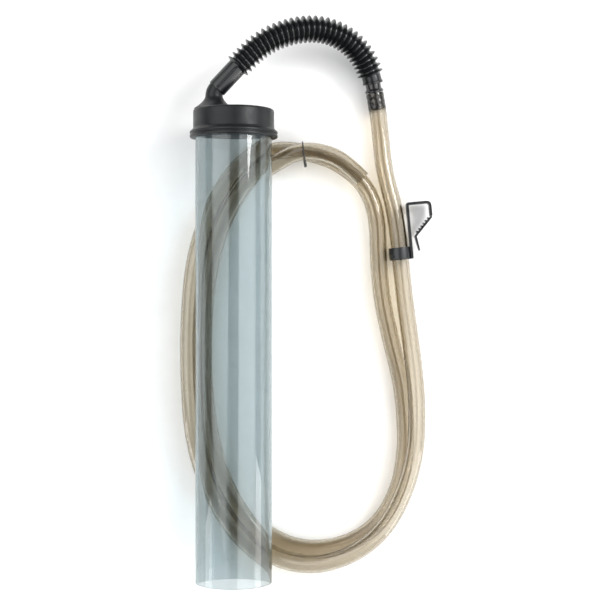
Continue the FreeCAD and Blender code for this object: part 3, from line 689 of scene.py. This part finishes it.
# joined parts reach this far into each other, and cutters this far past what they cut
SUNK = 0.0010
cap_outline = [
    (CAP_BOTTOM, CAP_BORE_R, 0.0003), (CAP_BOTTOM, RIM_R - 0.0004, 0.0006),
    (CAP_BOTTOM + RIM_EDGE, RIM_R, 0.0006), (CAP_BOTTOM + RIM_GROOVE_START, RIM_R, 0.0004),
    (CAP_BOTTOM + RIM_GROOVE_START + RIM_EDGE, RIM_R - RIM_GROOVE_DEPTH, 0.0002),
    (CAP_BOTTOM + RIM_GROOVE_END - RIM_EDGE, RIM_R - RIM_GROOVE_DEPTH, 0.0002),
    (CAP_BOTTOM + RIM_GROOVE_END, RIM_R, 0.0004), (CAP_BOTTOM + RIM_TOP, RIM_R, 0.0012),
    (CAP_BOTTOM + SKIRT_START, CAP_R, 0.0030), (CAP_TOP, CAP_R, 0.0024),
    (CAP_TOP, 0.0, 0.0), (CAP_TOP - ROOF, 0.0, 0.0),
    (CAP_TOP - ROOF, UPPER_BORE_R, 0.0008), (TUBE_STOP_Y, UPPER_BORE_R, 0.0003),
    (TUBE_STOP_Y, CAP_BORE_R, 0.0002),
]


def stand(x, bottom, top):
    """A line along the tube's direction at x, from bottom to top."""
    return [Vector((x, bottom, 0)), Vector((x, top, 0))]


def round_bar(name, x, bottom, top, radius, sides=64):
    """A closed round bar that stands along the tube's direction."""
    profile = [(0.0, 0.0), (0.0, radius), (top - bottom, radius), (top - bottom, 0.0)]
    return turned_mesh(name, stand(x, bottom, top), profile, sides, closed=False)


def elbow_line(start, end_reach):
    """Up from the foot, round the bend and out along the slant."""
    line = [Vector((ELBOW_X, start, 0))]
    for step in range(ELBOW_STEPS + 1):
        turn = ELBOW_TURN * step / ELBOW_STEPS
        line.append(Vector((ELBOW_X + ELBOW_BEND_R * (1 - math.cos(turn)),
                            ELBOW_BEND_Y + ELBOW_BEND_R * math.sin(turn), 0)))
    line.append(line[-1] + Vector((math.sin(ELBOW_TURN), math.cos(ELBOW_TURN), 0)) * end_reach)
    return line


def joined(base, meshes, operation):
    """The base mesh with each of the other closed meshes added to it or cut from it."""
    holder = bpy.data.objects.new("base", base)
    bpy.context.scene.collection.objects.link(holder)
    tools = []
    for mesh in meshes:
        tool = bpy.data.objects.new("tool", mesh)
        bpy.context.scene.collection.objects.link(tool)
        tools.append(tool)
        step = holder.modifiers.new("step", "BOOLEAN")
        step.operation = operation
        step.solver = "EXACT"
        step.object = tool
    bpy.context.view_layer.update()
    made = bpy.data.meshes.new_from_object(holder.evaluated_get(bpy.context.evaluated_depsgraph_get()))
    for item in [holder, *tools]:
        bpy.data.objects.remove(item)
    return made


elbow_way = elbow_line(CAP_TOP - SUNK, ELBOW_REACH)
elbow_stations = distances(elbow_way)
flare_height = ELBOW_BEND_Y - CAP_TOP + SUNK
elbow_profile = [(0.0, 0.0)]
for step in range(FLARE_STEPS + 1):
    share = step / FLARE_STEPS
    reach = ELBOW_R + FLARE_SPREAD * (1 - share) ** FLARE_POWER
    elbow_profile.append((flare_height * share, min(reach, FLARE_FOOT_R)))
elbow_profile += [(station, ELBOW_R) for station in elbow_stations[1:-1] if station > flare_height]
elbow_profile += [
    (elbow_stations[-2] + NOZZLE_STEP, NOZZLE_R), (elbow_stations[-1] - NOZZLE_EDGE, NOZZLE_R),
    (elbow_stations[-1], NOZZLE_R - NOZZLE_EDGE), (elbow_stations[-1], 0.0),
]
outlet_way = elbow_line(CAP_TOP - ROOF - SUNK, OUTLET_REACH)
outlet_profile = [(0.0, 0.0)] + [(station, ELBOW_BORE_R) for station in distances(outlet_way)]
outlet_profile += [(distances(outlet_way)[-1], 0.0)]
shell = turned_mesh("cap_shell", stand(0.0, 0.0, CAP_TOP), eased(cap_outline), 192)
cap_mesh = joined(shell, [
    turned_mesh("elbow", elbow_way, elbow_profile, 96, closed=False),
    round_bar("chamber_wall", ELBOW_X, CHAMBER_BOTTOM, CAP_TOP - SUNK, CHAMBER_R, 96),
    round_bar("socket_wall", SOCKET_X, SOCKET_BOTTOM, CAP_TOP - SUNK, SOCKET_R),
], "UNION")
cap_mesh = joined(cap_mesh, [
    turned_mesh("outlet", outlet_way, outlet_profile, 64, closed=False),
    round_bar("chamber_bore", ELBOW_X, CHAMBER_BOTTOM - SUNK, CAP_TOP - ROOF, CHAMBER_BORE_R, 96),
    round_bar("socket_bore", SOCKET_X, SOCKET_BOTTOM - SUNK, CAP_TOP - ROOF, SOCKET_BORE_R),
], "DIFFERENCE")
satin_black = moulded_plastic("satin_black_plastic", (0.005, 0.006, 0.007), (0.009, 0.010, 0.011),
                              0.38, 0.00002, shine=0.3)
tube_cap = new_piece("cap_and_elbow", cap_mesh, satin_black)
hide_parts("tube_cap")
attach(tube_cap, "cap")

# ---- gravel guard and priming valve ------------------------------------------------------
# The guard is a dark slatted disc whose stalk pushes into the cap.  Above it a rubber flap on
# a small pin closes on its seat, so that shaking the tube pumps water up into the hose.

guard_plastic = moulded_plastic("dark_guard_plastic", (0.050, 0.053, 0.058), (0.070, 0.073, 0.078),
                                0.45, 0.00003)
flap_rubber = moulded_plastic("soft_black_rubber", (0.015, 0.015, 0.015), (0.025, 0.025, 0.025),
                              0.7, 0.00004)
INNER_PARTS = {
    "gravel_guard": (guard_plastic, "guard_plastic"),
    "valve_seat": (guard_plastic, "guard_plastic"),
    "flap_pin": (guard_plastic, "guard_plastic"),
    "valve_flap": (flap_rubber, "flap_rubber"),
}
for node, (material, slot_name) in INNER_PARTS.items():
    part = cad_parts[node]
    part.data.materials.clear()
    part.data.materials.append(material)

# ---- bucket clip -------------------------------------------------------------------------
# One bent strip of black acetal with a ring that the hose runs through.  Its toothed leg
# springs open over a bucket's wall, so the leg is a piece of its own here.

CLIP_TILT = math.radians(5.37)
CLIP_MIDDLE = above_table((0.1347, 0.2622, 0.0092))
STRIP_HALF_WIDTH = 0.0045
STRIP_THICK = 0.0020
LEG_X = 0.0095
LEG_BOTTOM = -0.0050
LEG_TOP = 0.0410
SIDE_X = 0.0291
SIDE_BOTTOM = 0.02842
RING_BORE_R = 0.00730
RING_R = 0.0089
RING_LENGTH = 0.0100
WEB_SUNK = 0.0010
JAW_THICK = 0.0016
PIVOT = Vector((0.0280, 0.0275))
JAW_BEND = Vector((0.0139, 0.0130))
JAW_TAIL = Vector((0.0159, 0.0014))
TEETH = 6
TOOTH_HEIGHT = 0.0014
TEETH_MARGIN = 0.0016
TOOTH_FRONT = 0.0003
TOOTH_BACK = 0.0008
TOOTH_BACK_HEIGHT = TOOTH_HEIGHT * 0.93
TOOTH_SHARE = 0.55
JAW_ROUND_STEPS = 6
TAIL_TAPER = 0.7
TAIL_POINT = 0.0005


def clip_place(x, y, z):
    """A point of the clip's own frame, where the clip sits on the hose."""
    turned_x = x * math.cos(CLIP_TILT) - y * math.sin(CLIP_TILT)
    turned_y = x * math.sin(CLIP_TILT) + y * math.cos(CLIP_TILT)
    return CLIP_MIDDLE + Vector((turned_x, turned_y, z))


def strip_mesh(name, outline, half_width):
    """An outline in the clip's frame, carried across the strip's width."""
    shape = bmesh.new()
    low = [shape.verts.new(clip_place(x, y, -half_width)) for x, y in outline]
    high = [shape.verts.new(clip_place(x, y, half_width)) for x, y in outline]
    count = len(outline)
    shape.faces.new(low[::-1])
    shape.faces.new(high)
    for index in range(count):
        after = (index + 1) % count
        shape.faces.new((low[index], low[after], high[after], high[index]))
    bmesh.ops.recalc_face_normals(shape, faces=shape.faces)
    mesh = bpy.data.meshes.new(name)
    shape.to_mesh(mesh)
    shape.free()
    return mesh


def soft_edges(piece, width):
    """Small rounded edges, as a mould leaves them."""
    bevel = piece.modifiers.new("soft_edges", "BEVEL")
    bevel.width = width
    bevel.segments = 2
    bevel.limit_method = "ANGLE"
    bevel.angle_limit = math.radians(35)
    bevel.harden_normals = True


half_strip = STRIP_THICK / 2
hook_outline = eased([
    (LEG_X - half_strip, LEG_BOTTOM, 0.0008), (LEG_X + half_strip, LEG_BOTTOM, 0.0008),
    (LEG_X + half_strip, LEG_TOP - STRIP_THICK, 0.0006),
    (SIDE_X - STRIP_THICK, LEG_TOP - STRIP_THICK, 0.0022),
    (SIDE_X - STRIP_THICK, SIDE_BOTTOM, 0.0), (SIDE_X, SIDE_BOTTOM, 0.0006),
    (SIDE_X, LEG_TOP, 0.0044), (LEG_X - half_strip, LEG_TOP, 0.0020),
])
ring_line = [clip_place(0, -RING_LENGTH / 2, 0), clip_place(0, RING_LENGTH / 2, 0)]
ring_outline = eased([(0.0, RING_BORE_R, 0.0002), (0.0, RING_R, 0.0004),
                      (RING_LENGTH, RING_R, 0.0004), (RING_LENGTH, RING_BORE_R, 0.0002)])
web_outline = [(RING_R - WEB_SUNK, -RING_LENGTH / 2), (LEG_X, -RING_LENGTH / 2),
               (LEG_X, RING_LENGTH / 2), (RING_R - WEB_SUNK, RING_LENGTH / 2)]
hook_mesh = joined(strip_mesh("clip_strip", hook_outline, STRIP_HALF_WIDTH), [
    turned_mesh("clip_ring", ring_line, ring_outline, 96),
    strip_mesh("clip_web", web_outline, STRIP_THICK),
], "UNION")
satin_acetal = moulded_plastic("black_acetal", (0.006, 0.007, 0.008), (0.012, 0.013, 0.014), 0.32, 0.00001)
clip_hook = new_piece("clip_strip_and_ring", hook_mesh, satin_acetal)
soft_edges(clip_hook, 0.00025)
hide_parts("clip_hook")
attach(clip_hook, "clip")

half_jaw = JAW_THICK / 2
jaw_way = (JAW_BEND - PIVOT).normalized()
toothed_side = Vector((jaw_way.y, -jaw_way.x))
tail_way = (JAW_TAIL - JAW_BEND).normalized()
tail_side = Vector((tail_way.y, -tail_way.x))
corner_side = (toothed_side + tail_side).normalized()
corner_reach = half_jaw / corner_side.dot(toothed_side)
tooth_pitch = ((JAW_BEND - PIVOT).length - 2 * TEETH_MARGIN) / TEETH
jaw_points = []
for step in range(JAW_ROUND_STEPS + 1):
    turn = math.pi * (1 + step / JAW_ROUND_STEPS)
    jaw_points.append(PIVOT + (toothed_side * math.cos(turn) + jaw_way * math.sin(turn)) * half_jaw)
for number in range(TEETH):
    root = PIVOT + toothed_side * half_jaw + jaw_way * (TEETH_MARGIN + tooth_pitch * number)
    jaw_points += [root, root + jaw_way * TOOTH_FRONT + toothed_side * TOOTH_HEIGHT,
                   root + jaw_way * TOOTH_BACK + toothed_side * TOOTH_BACK_HEIGHT,
                   root + jaw_way * tooth_pitch * TOOTH_SHARE]
tail_half = tail_side * half_jaw * TAIL_TAPER
jaw_points += [JAW_BEND + corner_side * corner_reach, JAW_TAIL + tail_half,
               JAW_TAIL + tail_way * TAIL_POINT, JAW_TAIL - tail_half,
               JAW_BEND - corner_side * corner_reach]
jaw_mesh = strip_mesh("clip_jaw", [tuple(point) for point in jaw_points], STRIP_HALF_WIDTH)
clip_jaw = new_piece("clip_toothed_leg", jaw_mesh, satin_acetal)
soft_edges(clip_jaw, 0.00015)
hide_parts("clip_jaw")
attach(clip_jaw, "jaw")
